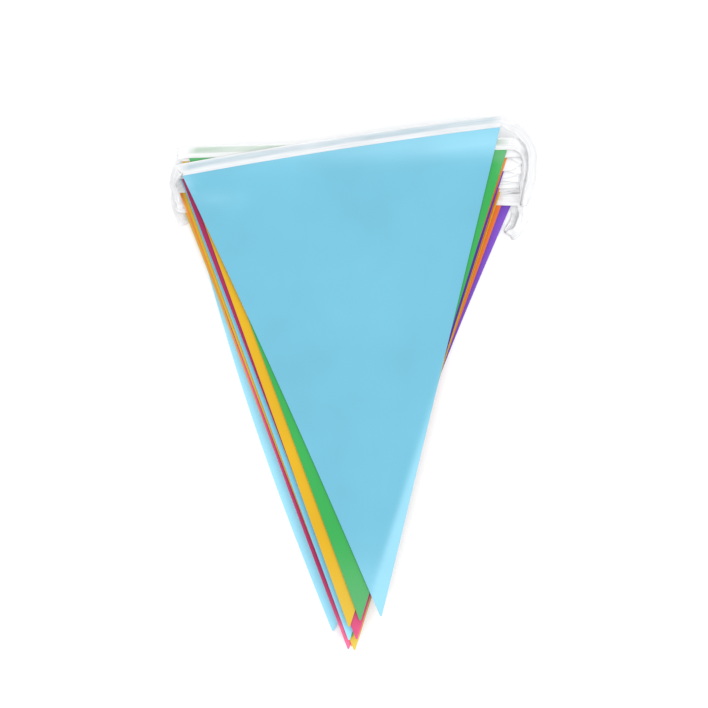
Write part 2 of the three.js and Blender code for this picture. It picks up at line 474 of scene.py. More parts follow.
FLAG_ROWS = (
    FlagRow(Film.BLUE, (-6.0, 142.2), 8.7, (18.7, -147.0), 0, crown=1.5, belly=-1.5),
    FlagRow(Film.GREEN, (-1.8, 140.7), 1.5, (5.7, -149.4), 2.5, narrow=2.0),
    FlagRow(Film.YELLOW, (-5.2, 137.3), 0.7, (-1.2, -153.4), 10),
    FlagRow(Film.PINK, (-5.6, 131.9), 3.8, (3.6, -161.3), 2.5),
    FlagRow(Film.ORANGE, (-2.6, 133.5), 2.8, (5.6, -156.1), 9.5, tuck=3.0),
    FlagRow(Film.PURPLE, (-4.7, 128.0), 1.2, (3.7, -156.1), 2),
    FlagRow(Film.BLUE, (-6.5, 128.4), 1.2, (-1.2, -161.8), 10.5, belly=0.2),
    FlagRow(Film.GREEN, (-5.1, 123.5), 1.3, (0.3, -159.9), 3.5, narrow=2.5),
    FlagRow(Film.YELLOW, (-5.9, 120.4), 2.1, (2.2, -168.3), 10, narrow=1.4, belly=1.0),
    FlagRow(Film.PINK, (-5.8, 120.0), 1.1, (-1.6, -167.6), 4, narrow=3.7, belly=1.8),
    FlagRow(Film.ORANGE, (-7.0, 118.1), 0.8, (0.6, -166.1), 10),
    FlagRow(Film.PURPLE, (-5.9, 118.2), 1.1, (0.0, -164.2), 3.5, narrow=4.0),
    FlagRow(Film.BLUE, (-6.7, 117.9), 0.5, (-7.5, -153.6), 10.5, narrow=3.1),
    FlagRow(Film.GREEN, (-5.6, 113.0), 2.5, (0.0, -161.7), 3, narrow=5.8),
    FlagRow(Film.YELLOW, (-5.0, 111.3), 4.0, (1.9, -164.8), 9.5, narrow=2.4, tuck=0.8),
    FlagRow(Film.PINK, (-5.8, 114.8), 0.5, (0.0, -163.6), 3, narrow=3.8),
    FlagRow(Film.ORANGE, (-6.1, 112.8), -2.2, (-3.7, -156.7), 8.5, belly=2.0),
    FlagRow(Film.PURPLE, (-0.2, 111.0), -1.2, (0.6, -163.6), 2.5, tuck=6.0),
    FlagRow(Film.BLUE, (-2.5, 115.1), -0.7, (-11.2, -156.7), 0, belly=5.7),
    FlagRow(Film.GREEN, (-4.0, 113.2), -0.7, (-0.6, -161.7), 0, narrow=2.8, tuck=1.5),
)
LAST = len(FLAG_ROWS) - 1


# Painted glare: soft pale patches blended into a flag's colour where the film catches the light
@dataclass(frozen=True)
class PaintedGlare:
    """A soft pale patch, where a film stands off the leaf below and catches the light.

    Attributes:
        flag: The flag, 0 on top.
        middle: Its middle, in millimetres.
        reach: Half its width and half its height.
        strength: Its strength at the middle.
    """

    flag: int
    middle: tuple[float, float]
    reach: tuple[float, float]
    strength: float

    def amount(self, grid: Array) -> Array:
        """Its strength at points: the bell exp(-d squared), d in shares of its reach."""
        offset = (grid[..., :2] - np.array(self.middle)) / np.array(self.reach)
        return self.strength * np.exp(-(offset**2).sum(axis=-1))


# The painted glare patches, each on one flag
PAINTED_GLARE = (
    PaintedGlare(0, (-102.5, 122.5), (4.0, 5.0), 0.75),
    PaintedGlare(0, (-86.0, 113.0), (16.0, 5.0), 0.25),
    PaintedGlare(0, (62.0, 146.0), (34.0, 5.0), 0.55),
    PaintedGlare(1, (5.0, -138.0), (6.0, 9.0), 0.45),
)


@dataclass(frozen=True)
class Crease:
    """A soft ridge, or a trough where its height is below 0, pressed through the leaves.

    Attributes:
        start: One end, in millimetres.
        end: The other end.
        width: Distance from its line at which little of it is left.
        height: Height of its middle in the topmost leaf.
    """

    start: tuple[float, float]
    end: tuple[float, float]
    width: float
    height: float

    def rise(self, x: Array, y: Array) -> Array:
        """Its height: the bell exp(-4 d squared), d the distance from its line in widths.

        It fades along the line as 1 less the fourth power of the share from middle to end.

        Args:
            x: Places across the pack.
            y: Places up the pack.

        Returns:
            The heights.
        """
        start, end = np.array(self.start), np.array(self.end)
        way = unit(end - start)
        along = (x - start[0]) * way[0] + (y - start[1]) * way[1]
        off = (y - start[1]) * way[0] - (x - start[0]) * way[1]
        share = 2.0 * along / np.linalg.norm(end - start) - 1.0
        bell = self.height * np.exp(-4.0 * (off / self.width) ** 2)
        return bell * np.clip(1.0 - share**4, 0.0, 1.0)


CREASES = (
    Crease((-104.0, 124.0), (-66.0, 98.0), 5.0, 0.55),
    Crease((-92.0, 126.0), (-50.0, 116.0), 4.0, 0.40),
    Crease((-99.0, 112.0), (-76.0, 84.0), 5.0, -0.40),
    Crease((30.0, 140.5), (96.0, 145.5), 5.0, 0.55),
    Crease((36.0, 128.0), (92.0, 133.0), 6.0, -0.35),
    Crease((70.0, 120.0), (84.0, 84.0), 5.0, 0.35),
    Crease((12.0, -20.0), (16.0, -132.0), 9.0, -0.50),
    Crease((40.0, -40.0), (21.0, -120.0), 7.0, 0.45),
)


@dataclass(frozen=True)
class PackLayout:
    """How the leaves lie on each other, in millimetres.

    Attributes:
        base: Height of the lowest leaf's middle surface.
        pitch: Height from one leaf to the next.
        flag_width: Cut width of a flag.
        tip_width: Width of a flag's point.
        tip_lift: Lift of the topmost flag's point.
        tip_line: Where up the pack that lift starts.
        tip_reach: How far below that line it is whole.
        corner_lift: Lift of the topmost flag's right corner.
        corner_start: A place on the line where that lift starts.
        corner_way: Unit vector from that line towards the corner.
        corner_reach: How far past the line it is whole.
        swell: Height of the long waves in the topmost flag.
    """

    base: float = 0.31
    pitch: float = 1.31
    flag_width: float = 200.0
    tip_width: float = 1.0
    tip_lift: float = 3.0
    tip_line: float = -60.0
    tip_reach: float = 100.0
    corner_lift: float = 1.2
    corner_start: tuple[float, float] = (40.0, 90.0)
    corner_way: tuple[float, float] = (0.8, 0.6)
    corner_reach: float = 70.0
    swell: float = 0.9

    def height(self, flag: int, x: Array, y: Array) -> Array:
        """Height of a leaf's middle surface.

        It is the flat stack's height plus, in proportion to how high the leaf lies, a lift that
        grows as the square of the distance past a line near the points, another past a line near
        the right corner, long soft waves, and the creases.

        Args:
            flag: The flag, counted from the topmost one down.
            x: Places across the pack.
            y: Places up the pack.

        Returns:
            The heights.
        """
        layer = LAST - flag
        tip = np.maximum(0.0, (self.tip_line - y) / self.tip_reach)
        (start_x, start_y), (way_x, way_y) = self.corner_start, self.corner_way
        past = (x - start_x) * way_x + (y - start_y) * way_y
        corner = np.maximum(0.0, past / self.corner_reach)
        waves = LONG_SWELL.at(x, y) + SHORT_SWELL.at(x, y)
        lift = self.tip_lift * tip**2 + self.corner_lift * corner**2 + self.swell * waves
        lift = lift + sum(crease.rise(x, y) for crease in CREASES)
        return self.base + layer * self.pitch + lift * layer / LAST

    def directions(self, row: FlagRow) -> tuple[Array, Array]:
        """Finds how a flag's top edge lies.

        Args:
            row: The flag.

        Returns:
            Unit vectors along the edge and square to it, away from the flag's point.
        """
        angle = math.radians(row.tilt)
        along = np.array([math.cos(angle), math.sin(angle)])
        return along, np.array([-along[1], along[0]])

    def top_edge(self, row: FlagRow, share: Array, offset: Array | float = 0.0) -> Array:
        """Points along a flag's top edge, or beside it.

        The edge is the straight line of its width through its middle, raised by four times the
        crown times share times the rest of the share.

        Args:
            row: The flag.
            share: From 0 at the left corner to 1 at the right one.
            offset: How far the points lie from the edge, away from the flag's point.

        Returns:
            The points, one a row.
        """
        along, square = self.directions(row)
        reach = (np.asarray(share) - 0.5) * (self.flag_width - row.narrow)
        rise = 4.0 * row.crown * np.asarray(share) * (1.0 - np.asarray(share)) + offset
        return np.array(row.middle) + reach[..., None] * along + rise[..., None] * square

    def leaf(self, row: FlagRow, share: Array, down: Array) -> Array:
        """Points of a flag between its top edge and its point.

        Each is the blend, by down, of the top edge's point and the blunt tip's, moved to the left
        by the sine of half a turn of down times the blend, by share, of the belly and the tuck.

        Args:
            row: The flag.
            share: From 0 at the left edge to 1 at the right one.
            down: From 0 at the top edge to 1 at the point.

        Returns:
            The points, one a row.
        """
        along, _ = self.directions(row)
        top = self.top_edge(row, share)
        foot = np.array(row.tip) + ((share - 0.5) * self.tip_width)[..., None] * along
        bow = (row.belly * (1.0 - share) + row.tuck * share) * np.sin(np.pi * down)
        return top + (foot - top) * down[..., None] - bow[..., None] * along

    def cover(self, row: FlagRow, points: Array, soft: float, rise: float = 0.0) -> Array:
        """How far a flag lies under points seen from above.

        Args:
            row: The flag that may lie under them.
            points: The points, with x and y in the last axis.
            soft: Half the width over which its edge fades.
            rise: Width of the tape to count with it, past its top edge.

        Returns:
            0 more than half of soft outside its outline, 1 more than one and a half times soft
            inside it, and a smoothstep between.
        """
        left, right = self.top_edge(row, np.array([0.0, 1.0]), rise)
        tip = np.array(row.tip)
        inside = np.full(points.shape[:-1], np.inf)
        for start, end in ((left, tip), (tip, right), (right, left)):
            way = unit(end - start)
            offset = points - start
            inside = np.minimum(inside, way[0] * offset[..., 1] - way[1] * offset[..., 0])
        return smoothstep(-0.5 * soft, 1.5 * soft, inside)


@dataclass
class FilmSheet:
    """A closed thin sheet of film around a grid of middle points.

    Attributes:
        name: The piece's name.
        grid: Middle points in millimetres, with rows, columns and x, y, z.
        thickness: In millimetres.
        floats: Named values, one for each grid point.
        vectors: Named triples, one for each grid point.
        colours: Named linear colours with alpha, one for each grid point.
        rim_angle: Bend in degrees from which an edge is drawn sharp, so that only the rim is.
    """

    name: str
    grid: Array
    thickness: float
    floats: dict[str, Array] = field(default_factory=dict)
    vectors: dict[str, Array] = field(default_factory=dict)
    colours: dict[str, Array] = field(default_factory=dict)
    rim_angle: float = 50.0

    def normals(self) -> Array:
        """Unit normals of the grid: the slope down a column crossed with the slope along a row."""
        return unit(np.cross(np.gradient(self.grid, axis=0), np.gradient(self.grid, axis=1)))

    def faces(self) -> Array:
        """Quads of both sides and of the rim, all facing outwards.

        Returns:
            Four vertex numbers a row; the upper side's points come first.
        """
        rows, columns = self.grid.shape[:2]
        number = np.arange(rows * columns).reshape(rows, columns)
        corners = (number[:-1, :-1], number[1:, :-1], number[1:, 1:], number[:-1, 1:])
        upper = np.stack(corners, axis=-1).reshape(-1, 4)
        to_lower = rows * columns
        lower = upper[:, [0, 3, 2, 1]] + to_lower
        sides = (number[:-1, 0], number[-1, :-1], number[:0:-1, -1], number[0, :0:-1])
        loop = np.concatenate(sides)
        following = np.roll(loop, -1)
        rim = np.stack([following, loop, loop + to_lower, following + to_lower], axis=-1)
        return np.concatenate([upper, lower, rim])

    def build(self, shift: Array) -> bpy.types.Object:
        """Puts the sheet into the scene.

        Args:
            shift: Moves the layout into the frame, in millimetres.

        Returns:
            The sheet's object, smooth but for its rim.
        """
        half = self.normals() * self.thickness / 2
        points = np.concatenate([self.grid + half, self.grid - half]).reshape(-1, 3)
        mesh = bpy.data.meshes.new(self.name)
        mesh.from_pydata(((points + shift) * MM).tolist(), [], self.faces().tolist())
        mesh.shade_smooth()
        mesh.set_sharp_from_angle(angle=math.radians(self.rim_angle))
        for kind, key, values in (
            ("FLOAT", "value", self.floats),
            ("FLOAT_VECTOR", "vector", self.vectors),
            ("FLOAT_COLOR", "color", self.colours),
        ):
            for name, value in values.items():
                attribute = mesh.attributes.new(name, kind, "POINT")
                both = np.concatenate([value.reshape(-1), value.reshape(-1)])
                attribute.data.foreach_set(key, both.astype(np.float32))
        return add_object(self.name, mesh)

    def area(self) -> float:
        """Finds the area of one side: half the length of each quad's crossed diagonals.

        Returns:
            The area in square millimetres.
        """
        one = self.grid[1:, 1:] - self.grid[:-1, :-1]
        two = self.grid[1:, :-1] - self.grid[:-1, 1:]
        return float(np.linalg.norm(np.cross(one, two), axis=-1).sum() / 2)


# Settings of the painted light of the white ground, as it comes up through the leaves
@dataclass(frozen=True)
class GroundLight:
    """How the light of the white ground comes up to a leaf through those below it.

    Attributes:
        fade: Half the width over which the next leaf's edge fades, in millimetres.
        fade_more: What every further leaf adds to it.
        hold: What one leaf holds back; e to the power of minus this comes through.
        tape_hold: What a leaf and the tape above it hold back on top of that.
    """

    fade: float
    fade_more: float
    hold: float
    tape_hold: float = 0.15


# The front leaf lies loosely, those below are pressed together, and pink is the most dyed
FRONT_LIGHT = GroundLight(2.5, 0.3, 0.65)
PRESSED_LIGHT = GroundLight(1.2, 0.1, 0.95)
PINK_LIGHT = GroundLight(1.2, 0.1, 1.7)


@dataclass
class Pennant:
    """One triangular flag, with the part of it that is welded inside the tape.

    Attributes:
        number: Its place in the pack, 0 on top.
        layout: How the pack lies.
        inside: How much of it stands up inside the tape, in millimetres.
        thickness: Drawn thickness of the film, in millimetres.
        drop: Cut length from its top edge to its point, in millimetres; not used.
        columns: Quads across it.
        rows: Quads down the leaf.
        inside_rows: Quads up inside the tape.
        weld_bare: How much of the painted ground light the film beside the weld keeps, next to 1
            further down.
        weld_share: Share of the drop over which that fades.
        tip_share: Share of the drop from which light comes in from both sides too.
        tip_light: How much of the stack's shade that light takes off the point.
        shade_gain: What makes up for the shade on the lowest leaf.
        blue_gain: The painted brightening of the blue leaves below the top.
    """

    number: int
    layout: PackLayout
    inside: float = WELD
    thickness: float = 0.14
    drop: float = 290.0
    columns: int = 40
    rows: int = 64
    inside_rows: int = 4
    weld_bare: float = 0.6
    weld_share: float = 0.04
    tip_share: float = 0.8
    tip_light: float = 0.5
    shade_gain: float = 0.28
    blue_gain: float = 1.36

    @property
    def row(self) -> FlagRow:
        """The flag's row in the table."""
        return FLAG_ROWS[self.number]

    @property
    def light(self) -> GroundLight:
        """How the ground's light comes up to it."""
        under_front = PINK_LIGHT if self.row.film is Film.PINK else PRESSED_LIGHT
        return FRONT_LIGHT if self.number == 0 else under_front

    def surface(self) -> Array:
        """Lays out the flag.

        The first rows are the top edge moved up inside the tape; the rest is the leaf from its
        top edge to its point. Every point has the leaf's height at its place.

        Returns:
            Its middle points in millimetres, with rows, columns and x, y, z.
        """
        share = np.linspace(0.0, 1.0, self.columns + 1)
        offset = np.linspace(self.inside, 0.0, self.inside_rows, endpoint=False)
        down = np.linspace(0.0, 1.0, self.rows + 1)
        welded = self.layout.top_edge(self.row, *np.meshgrid(share, offset))
        hanging = self.layout.leaf(self.row, *np.meshgrid(share, down))
        plan = np.concatenate([welded, hanging])
        height = self.layout.height(self.number, plan[..., 0], plan[..., 1])
        return np.concatenate([plan, height[..., None]], axis=-1)

    def painted_ground_light(self, grid: Array) -> Array:
        """Finds how much of the white ground shines through.

        It is painted light: e to the power of minus what the leaves and the tape below a point hold
        back. The last fifth before the point gets half of the rest too, from both sides. The film
        beside the weld gets six tenths of it, and the painted glare patches of the flag are blended
        in.

        Args:
            grid: The flag's middle points.

        Returns:
            A share for each point, from 0 in the stack to 1 over the ground.
        """
        light = self.light
        under = np.zeros(grid.shape[:2])
        for below, row in enumerate(FLAG_ROWS[self.number + 1 :], 1):
            edge = light.fade + light.fade_more * below
            under += light.hold * self.layout.cover(row, grid[..., :2], edge)
            under += light.tape_hold * self.layout.cover(row, grid[..., :2], edge, TAPE_WIDTH)
        down = np.linspace(0.0, 1.0, self.rows + 1)
        down = np.concatenate([np.zeros(self.inside_rows), down])[:, None]
        tip = self.tip_light * smoothstep(self.tip_share, 1.0, down)
        stack = 1.0 - (1.0 - np.exp(-under)) * (1.0 - tip)
        weld = smoothstep(0.0, self.weld_share, down)
        painted_ground_light = stack * (self.weld_bare + (1.0 - self.weld_bare) * weld)
        for patch in PAINTED_GLARE:
            if patch.flag == self.number:
                painted_ground_light = np.maximum(painted_ground_light, patch.amount(grid))
        return painted_ground_light

    def glow(self, grid: Array) -> Array:
        """Finds the gain that makes up for the shade of a stack drawn thicker than film lies.

        It is 1 on the topmost leaf and grows evenly to the lowest one. Blue film lets the most
        light through, so the blue leaves below the top get a painted brightening of their own.

        Args:
            grid: The flag's middle points.

        Returns:
            The same gain for each point.
        """
        gain = 1.0 + self.shade_gain * self.number / LAST
        if self.row.film is Film.BLUE and self.number > 0:
            gain = self.blue_gain
        return np.full(grid.shape[:2], gain)

    def make(self, shift: Array, finishes: dict[Film, Material]) -> bpy.types.Object:
        """Builds the flag, dresses it and puts it in its place in the frame.

        Args:
            shift: Moves the layout into the frame, in millimetres.
            finishes: The films' materials.

        Returns:
            The flag's object.
        """
        grid = self.surface()
        # Painted light: paler where the ground's light would shine through, and brighter against
        # the stack's shade
        floats = {"painted_ground_light": self.painted_ground_light(grid), "glow": self.glow(grid)}
        sheet = FilmSheet(f"pennant_{self.number + 1:02d}", grid, self.thickness, floats=floats)
        thing = sheet.build(shift)
        thing.data.materials.append(finishes[self.row.film])
        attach(thing, "root")
        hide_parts(f"flag_{self.number + 1:02d}")
        LOG.info("%s: %.0f square mm of %s film", thing.name, sheet.area(), self.row.film.value)
        return thing


@dataclass(frozen=True)
class SlackRow:
    """One place on slack tape.

    Attributes:
        x: Across the pack.
        y: Up the pack.
        z: Height of the tape's middle.
        roll: How far its outer edge dips, as a negative angle in degrees.
    """

    x: float
    y: float
    z: float
    roll: float


SIDE_LOOP_OUT = (
    SlackRow(98.6, 159.0, 27.3, -12),
    SlackRow(104.6, 154.8, 27.2, -26),
    SlackRow(110.4, 147.4, 26.2, -38),
    SlackRow(113.1, 138.0, 24.0, -44),
    SlackRow(112.5, 126.5, 21.4, -48),
    SlackRow(110.3, 116.7, 19.0, -54),
    SlackRow(108.5, 110.0, 17.4, -62),
)
SIDE_LOOP_BACK = (
    SlackRow(102.6, 146.5, 25.4, -5),
    SlackRow(107.5, 143.1, 24.7, -20),
    SlackRow(110.0, 136.8, 22.4, -36),
    SlackRow(110.1, 128.1, 19.6, -44),
    SlackRow(108.6, 118.2, 17.2, -52),
    SlackRow(107.1, 110.6, 16.2, -62),
)
LOW_LOOP_OUT = (
    SlackRow(102.0, 117.4, 1.8, 0),
    SlackRow(106.1, 112.6, 1.8, 0),
    SlackRow(107.8, 106.4, 2.6, -12),
    SlackRow(107.2, 100.0, 3.8, -32),
    SlackRow(104.6, 94.2, 4.7, -38),
    SlackRow(100.2, 90.6, 4.4, -25),
)
LOW_LOOP_BACK = (
    SlackRow(99.2, 114.8, 0.53, 0),
    SlackRow(102.6, 110.1, 0.56, 0),
    SlackRow(103.9, 104.5, 0.9, -3),
    SlackRow(103.0, 99.2, 1.9, -18),
    SlackRow(101.0, 95.2, 2.3, -18),
    SlackRow(98.9, 92.2, 2.7, -20),
)
UPPER_TAIL = (
    SlackRow(-108.2, 129.1, 25.6, -35),
    SlackRow(-110.1, 124.7, 24.8, -58),
    SlackRow(-109.9, 118.2, 23.8, -62),
    SlackRow(-107.6, 111.0, 22.8, -62),
)
LOWER_TAIL = (
    SlackRow(-108.4, 116.5, 0.5, 0),
    SlackRow(-108.9, 110.5, 0.5, 0),
    SlackRow(-106.5, 103.5, 0.5, 0),
    SlackRow(-103.5, 97.0, 0.5, 0),
)
SLACK_LOOPS = {0: (SIDE_LOOP_OUT, SIDE_LOOP_BACK), 18: (LOW_LOOP_OUT, LOW_LOOP_BACK)}


@dataclass
class Stations:
    """A stretch of tape as a chain of places.

    Attributes:
        points: Middles of the strip, one a row.
        across: Directions across it, away from the flags.
        flag: The flag inside the strip at each place, or -1.
        slack: 0 where the strip is held flat in the pack and 1 where it is slack.
    """

    points: Array
    across: Array
    flag: Array
    slack: Array

    def reversed(self) -> "Stations":
        """The same stretch from its other end."""
        return Stations(self.points[::-1], self.across[::-1], self.flag[::-1], self.slack[::-1])


@dataclass(frozen=True)
class TapeTint:
    """How the flag inside the tape and its own folds colour the milky film.

    Attributes:
        face: Share of the flag's colour where one thickness covers it.
        hem: Share at the doubled hem.
        corner: What is left of both at a flag's corner.
        shade: How much painted shade darkens the highest held tape.
        shade_power: How fast that fades on the way down the pack.
        slack_shade: Share of that which slack tape is spared.
        crinkle_shade: How much painted crinkle shade darkens the deepest streak of slack tape.
    """

    face: float = 0.46
    hem: float = 0.12
    corner: float = 0.35
    shade: float = 0.2
    shade_power: int = 5
    slack_shade: float = 0.6
    crinkle_shade: float = 0.11


@dataclass
class HeaderTape:
    """The header tape: one strip folded in two over the flags' tops, its edges turned in.

    Attributes:
        layout: How the pack lies.
        width: Folded width, in millimetres.
        hem: Width of the turned-in edges.
        outer: How far the strip's two outer thicknesses lie from its middle.
        inner: How far the turned-in edges do.
        thickness: Drawn thickness of the film.
        lead: How far the strip runs on straight past a flag's corner.
        opening: How much further apart its thicknesses lie where it is slack, as a share.
        short_slack: Slack of the short folds, next to 1 in the loose loops.
        crumple: Height of the slack strip's wrinkles.
        clear: Height above which the ground does not squeeze it.
        rest: Height at which the ground stops it.
        colouring: How it is coloured.
        section_points: Points along a turned-in edge, round the hem, up a face, round the fold.
        run_steps: Places along a flag's top edge.
        loop_steps: Steps along a short fold's strips.
        turn_steps: Steps round the turn at a fold's end.
        slack_steps: Steps from one row of a loose loop to the next.
    """

    layout: PackLayout
    width: float = TAPE_WIDTH
    hem: float = 3.1
    outer: float = 0.26
    inner: float = 0.15
    thickness: float = 0.06
    lead: float = 1.5
    opening: float = 0.9
    short_slack: float = 0.35
    crumple: float = 0.8
    clear: float = 1.2
    rest: float = 0.05
    colouring: TapeTint = TapeTint()
    section_points: tuple[int, int, int, int] = (3, 5, 7, 7)
    run_steps: int = 26
    loop_steps: int = 7
    turn_steps: int = 8
    slack_steps: int = 5

    def run(self, flag: int) -> Stations:
        """Lays the tape over a flag's top edge, half its width above the edge.

        Args:
            flag: The flag, 0 on top.

        Returns:
            The stretch, from left to right on every other flag and back on the rest.
        """
        row = FLAG_ROWS[flag]
        _, square = self.layout.directions(row)
        lead = self.lead / self.layout.flag_width
        inner = np.linspace(0.025, 0.975, self.run_steps)
        share = np.concatenate([[-lead, 0.0], inner, [1.0, 1.0 + lead]])
        plan = self.layout.top_edge(row, share, np.full(share.shape, self.width / 2))
        height = self.layout.height(flag, *plan.T)
        ahead = self.layout.height(flag, *(plan + square).T)
        behind = self.layout.height(flag, *(plan - square).T)
        slope = (ahead - behind) / 2
        across = unit(np.column_stack([np.tile(square, (len(share), 1)), slope]))
        inside = np.where((share < 0) | (share > 1), -1, flag)
        points = np.column_stack([plan, height])
        stations = Stations(points, across, inside, np.zeros(len(share)))
        return stations if flag % 2 == 0 else stations.reversed()

    def turn(self, out: Stations, back: Stations, outward: Array) -> Stations:
        """Turns the strip about its width, from the end of out to the end of back.

        The points lie on the half circle over the line between the two ends, bulging outwards.

        Args:
            out: The strip that goes out.
            back: The strip that comes back, from its far end.
            outward: Unit vector away from the pack.

        Returns:
            The half turn, without its two ends.
        """
        middle = (out.points[-1] + back.points[-1]) / 2
        arm = out.points[-1] - middle
        angle = np.linspace(0.0, np.pi, self.turn_steps + 1)[1:-1, None]
        points = middle + arm * np.cos(angle) + outward * np.linalg.norm(arm) * np.sin(angle)
        share = angle / np.pi
        across = unit(out.across[-1] * (1 - share) + back.across[-1] * share)
        slack = np.full(len(points), max(out.slack[-1], back.slack[-1]))
        return Stations(points, across, np.full(len(points), -1), slack)

    def plain_loop(self, leave: Stations, arrive: Stations, flag: int, side: int) -> list[Stations]:
        """Folds the tape past the corners, out level with one flag and back level with the next.

        Both strips run from their corner to one common end, and their sideways drift follows a
        smoothstep, so that each leaves its corner straight.

        Args:
            leave: The run that the tape leaves.
            arrive: The run that it comes to.
            flag: The flag of the first run.
            side: 1 on the right and -1 on the left.

        Returns:
            The strip out, the turn and the strip back.
        """
        start, finish = leave.points[-1], arrive.points[0]
        across = unit((leave.across[-1] + arrive.across[0]) * np.array([1.0, 1.0, 0.0]))
        outward = np.array([across[1], -across[0], 0.0]) * side
        end = (start + finish) / 2 + outward * FLAG_ROWS[flag].beyond

        def strip(root: Array, leaf: int) -> Stations:
            """Lays one strip from a corner to the common end.

            Args:
                root: The corner.
                leaf: The flag whose height it follows.

            Returns:
                The strip.
            """
            share = np.linspace(0.0, 1.0, self.loop_steps + 1)[1:]
            points = root + (end - root) * share[:, None]
            drift = np.dot(end - root, across) * (smoothstep(0.0, 1.0, share) - share)
            points = points + drift[:, None] * across
            points[:, 2] = self.layout.height(leaf, points[:, 0], points[:, 1])
            ways = np.tile(across, (len(points), 1))
            return Stations(points, ways, np.full(len(points), -1), self.short_slack * share)

        out, back = strip(start, flag), strip(finish, flag + 1)
        return [out, self.turn(out, back, outward), back.reversed()]

    def slack(self, corner: Array, rows: tuple[SlackRow, ...], side: int) -> Stations:
        """Lays slack tape from a corner along its rows, on a smooth curve through them.

        The direction across is level with the ground and square to the curve, turned down about
        the curve by the row's roll.

        Args:
            corner: Where the tape comes from.
            rows: The places it goes through.
            side: 1 on the right and -1 on the left.

        Returns:
            The stretch, without the corner.
        """
        table = np.array([[row.x, row.y, row.z, row.roll] for row in rows])
        table = np.concatenate([[[*corner, 0.0]], table])
        places = np.linspace(0.0, len(rows), len(rows) * self.slack_steps + 1)[1:]
        curve, slope = smooth_path(table, places)
        outward = unit(slope[:, :3])
        up = np.array([0.0, 0.0, 1.0])
        level = unit(np.cross(up, outward)) * side
        roll = np.radians(curve[:, 3:])
        across = level * np.cos(roll) + up * np.sin(roll)
        across = unit(across - outward * (across * outward).sum(axis=1, keepdims=True))
        ease = smoothstep(0.0, 2.0, places)
        return Stations(curve[:, :3], across, np.full(len(places), -1), ease)

    def slack_loop(self, leave: Stations, arrive: Stations, flag: int, side: int) -> list[Stations]:
        """Lays a loose loop, out along one table's rows and back along the other's.

        Args:
            leave: The run that the tape leaves.
            arrive: The run that it comes to.
            flag: The flag of the first run.
            side: 1 on the right and -1 on the left.

        Returns:
            The strip out, the turn and the strip back.
        """
        rows_out, rows_back = SLACK_LOOPS[flag]
        out = self.slack(leave.points[-1], rows_out, side)
        back = self.slack(arrive.points[0], rows_back, side)
        outward = unit(out.points[-1] - out.points[-2])
        return [out, self.turn(out, back, outward), back.reversed()]

    def path(self) -> Stations:
        """Lays the whole tape from its upper free end to its lower one.

        Returns:
            The tape as one chain of places.
        """
        runs = [self.run(flag) for flag in range(LAST + 1)]
        pieces = [self.slack(runs[0].points[0], UPPER_TAIL, -1).reversed()]
        for flag, run in enumerate(runs):
            pieces.append(run)
            if flag == LAST:
                break
            side = 1 if flag % 2 == 0 else -1
            loop = self.slack_loop if flag in SLACK_LOOPS else self.plain_loop
            pieces.extend(loop(run, runs[flag + 1], flag, side))
        pieces.append(self.slack(runs[LAST].points[-1], LOWER_TAIL, -1))
        return Stations(
            np.concatenate([piece.points for piece in pieces]),
            np.concatenate([piece.across for piece in pieces]),
            np.concatenate([piece.flag for piece in pieces]),
            np.concatenate([piece.slack for piece in pieces]),
        )

    def profile(self) -> Array:
        """Draws the strip's section.

        It starts at one turned-in edge, goes down to the hem, round a small half circle and up
        the front, round the fold along the top, and down the back in the same way.

        Returns:
            Places across the strip and off its middle, in millimetres, one point a row.
        """
        bottom, top = -self.width / 2, self.width / 2
        small = (self.outer - self.inner) / 2
        at_edge, at_hem, at_face, at_fold = self.section_points
        edge = np.linspace(bottom + self.hem, bottom + small, at_edge)
        face = np.linspace(bottom + small, top - self.outer, at_face)
        round_hem = np.linspace(0.0, np.pi, at_hem)[1:-1]
        hem_x = bottom + small - small * np.sin(round_hem)
        hem_n = (self.outer + self.inner) / 2 - small * np.cos(round_hem)
        round_top = np.linspace(0.0, np.pi, at_fold)[1:-1]
        fold_x = top - self.outer + self.outer * np.sin(round_top)
        fold_n = self.outer * np.cos(round_top)
        front_x = np.concatenate([edge, hem_x, face])
        front_n = np.concatenate([[self.inner] * at_edge, hem_n, [self.outer] * at_face])
        places = np.concatenate([front_x, fold_x, front_x[::-1]])
        off = np.concatenate([front_n, fold_n, -front_n[::-1]])
        return np.column_stack([places, off])

    def surface(self, stations: Stations) -> tuple[Array, Array]:
        """Lays out the tape's film.

        The section is carried along the chain of places. The strip's middle is pushed off by
        soft noise and the section is opened a little, both in proportion to its slack. Below
        the clear height the slack film follows an exponential that ends just above the ground.

        Args:
            stations: The chain.

        Returns:
            The grid of points, and for each the length along the tape, the place across it and
            the slack.
        """
        points = stations.points
        step = np.diff(points, axis=0)
        way = unit(step)
        travel = unit(np.concatenate([way[:1], way]) + np.concatenate([way, way[-1:]]))
        normal = unit(np.cross(travel, stations.across))
        across = np.cross(normal, travel)
        length = np.concatenate([[0.0], np.cumsum(np.linalg.norm(step, axis=1))])
        section = self.profile()
        slack = stations.slack[:, None]
        where = (length[:, None], section[None, :, 0])
        wrinkle = WRINKLES.at(*where) + FINE_WRINKLES.at(*where)
        off = section[None, :, 1] * (1.0 + self.opening * slack) + self.crumple * slack * wrinkle
        grid = points[:, None] + across[:, None] * section[None, :, :1]
        grid = grid + normal[:, None] * off[..., None]
        depth = np.minimum(grid[..., 2] - self.clear, 0.0)
        room = self.clear - self.rest
        squeeze = room * (np.exp(depth / room) - 1.0) - depth
        grid[..., 2] += smoothstep(0.0, 0.3, slack) * squeeze
        strip = np.broadcast_arrays(length[:, None], section[None, :, 0], slack)
        return grid, np.stack(strip, axis=-1)

